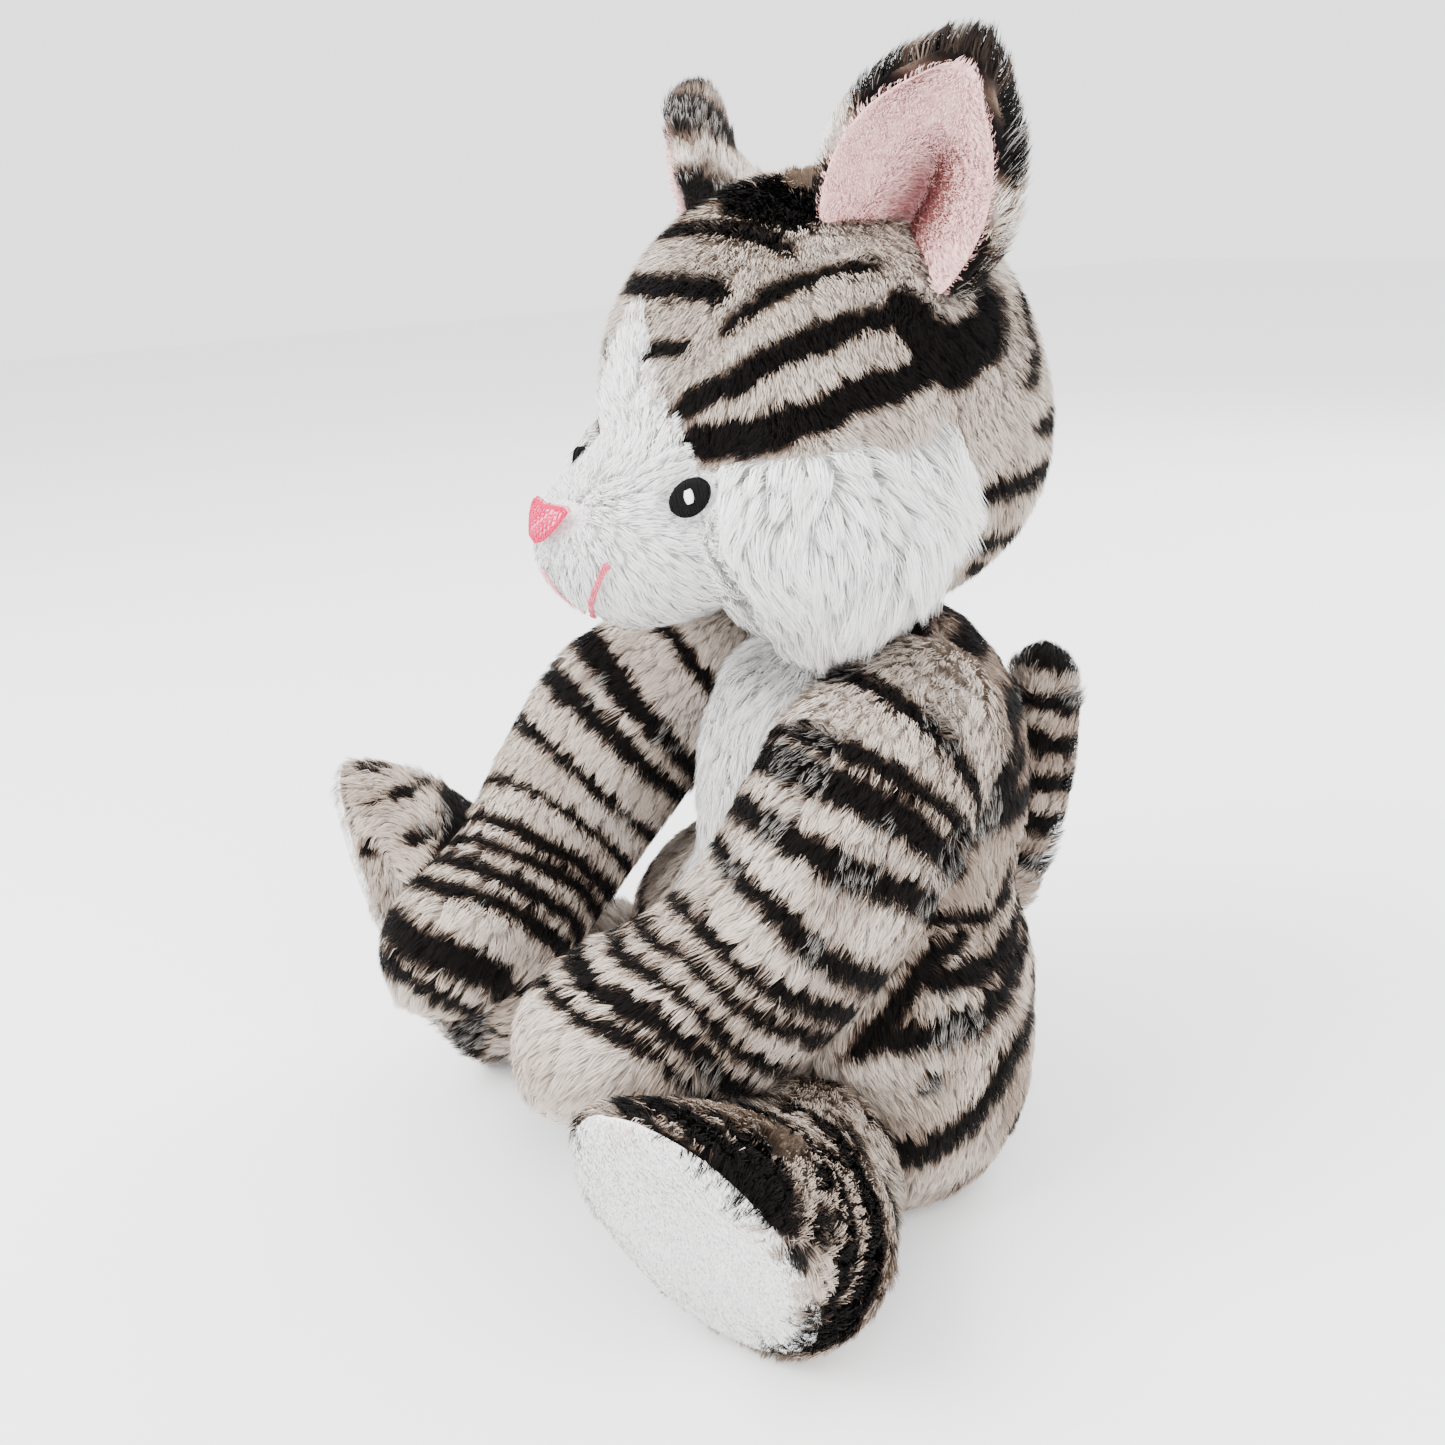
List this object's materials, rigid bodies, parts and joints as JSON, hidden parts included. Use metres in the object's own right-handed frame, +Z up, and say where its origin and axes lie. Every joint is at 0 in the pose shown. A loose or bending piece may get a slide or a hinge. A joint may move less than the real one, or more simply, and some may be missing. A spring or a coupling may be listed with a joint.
{
  "type": "plush cat",
  "caption": "Seated plush cat of striped grey and white pile fabric, with pink-lined ears, stitched face, and head, arms, legs, tail and ears that move at their seams.",
  "frame": {"origin": "middle of the flat seat under the torso", "axes": "+Z up; the cat faces -Y and its left side is +X"},
  "size_m": [0.2579, 0.2324, 0.3208],
  "materials": {
    "stripe_fur": "matte",
    "white_fur": "matte",
    "cheek_fur": "matte",
    "sole_pile": "satin",
    "ear_pink": "matte",
    "eye_thread": "satin",
    "white_thread": "satin",
    "nose_thread": "satin",
    "mouth_thread": "satin",
    "filling": "matte"
  },
  "bodies": {
    "torso": {"torso_filling": "filling", "belly_panel": "white_fur", "back_panel_left": "stripe_fur", "back_panel_right": "stripe_fur", "seat_panel": "stripe_fur"},
    "neck": {"neck_filling": "filling"},
    "head": {"head_filling": "filling", "forehead_gusset": "stripe_fur", "blaze_panel": "white_fur", "muzzle_panel": "white_fur", "side_face_panel_left": "stripe_fur", "cheek_panel_left": "cheek_fur", "head_back_panel_left": "stripe_fur", "eye_left": "eye_thread", "eye_glint_left": "white_thread", "mouth_stitch_left": "mouth_thread", "side_face_panel_right": "stripe_fur", "cheek_panel_right": "cheek_fur", "head_back_panel_right": "stripe_fur", "eye_right": "eye_thread", "eye_glint_right": "white_thread", "mouth_stitch_right": "mouth_thread", "nose": "nose_thread", "philtrum_stitch": "mouth_thread"},
    "ear_left": {"ear_back_left": "stripe_fur", "ear_lining_left": "ear_pink"},
    "arm_left": {"arm_skin_left": "stripe_fur", "arm_filling_left": "filling"},
    "leg_left": {"leg_skin_left": "stripe_fur", "leg_filling_left": "filling", "sole_left": "sole_pile"},
    "ear_right": {"ear_back_right": "stripe_fur", "ear_lining_right": "ear_pink"},
    "arm_right": {"arm_skin_right": "stripe_fur", "arm_filling_right": "filling"},
    "leg_right": {"leg_skin_right": "stripe_fur", "leg_filling_right": "filling", "sole_right": "sole_pile"},
    "tail": {"tail_skin": "stripe_fur", "tail_filling": "filling"}
  },
  "joints": [
    {"name": "neck_turn", "type": "hinge", "parent": "torso", "child": "neck", "pos_m": [0, -0.014, 0.175], "axis": [0, 0, 1], "range_deg": [-30, 30]},
    {"name": "head_nod", "type": "hinge", "parent": "neck", "child": "head", "pos_m": [0, -0.014, 0.175], "axis": [1, 0, 0], "range_deg": [-5, 12]},
    {"name": "ear_left_fold", "type": "hinge", "parent": "head", "child": "ear_left", "pos_m": [0.0455, -0.0195, 0.27], "axis": [0.6231, 0.6231, -0.4727], "range_deg": [-6, 15]},
    {"name": "ear_right_fold", "type": "hinge", "parent": "head", "child": "ear_right", "pos_m": [-0.0455, -0.0195, 0.27], "axis": [0.6231, -0.6231, 0.4727], "range_deg": [-6, 15]},
    {"name": "arm_left_raise", "type": "hinge", "parent": "torso", "child": "arm_left", "pos_m": [0.052, -0.015, 0.147], "axis": [-1, 0, 0], "range_deg": [0, 24]},
    {"name": "arm_right_raise", "type": "hinge", "parent": "torso", "child": "arm_right", "pos_m": [-0.052, -0.015, 0.147], "axis": [-1, 0, 0], "range_deg": [0, 24]},
    {"name": "leg_left_spread", "type": "hinge", "parent": "torso", "child": "leg_left", "pos_m": [0.07, -0.067, 0.032], "axis": [0, 0, 1], "range_deg": [0, 30]},
    {"name": "leg_right_spread", "type": "hinge", "parent": "torso", "child": "leg_right", "pos_m": [-0.07, -0.067, 0.032], "axis": [0, 0, -1], "range_deg": [0, 30]},
    {"name": "tail_swing", "type": "hinge", "parent": "torso", "child": "tail", "pos_m": [0, 0.061, 0.06], "axis": [-1, 0, 0], "range_deg": [0, 45]}
  ]
}
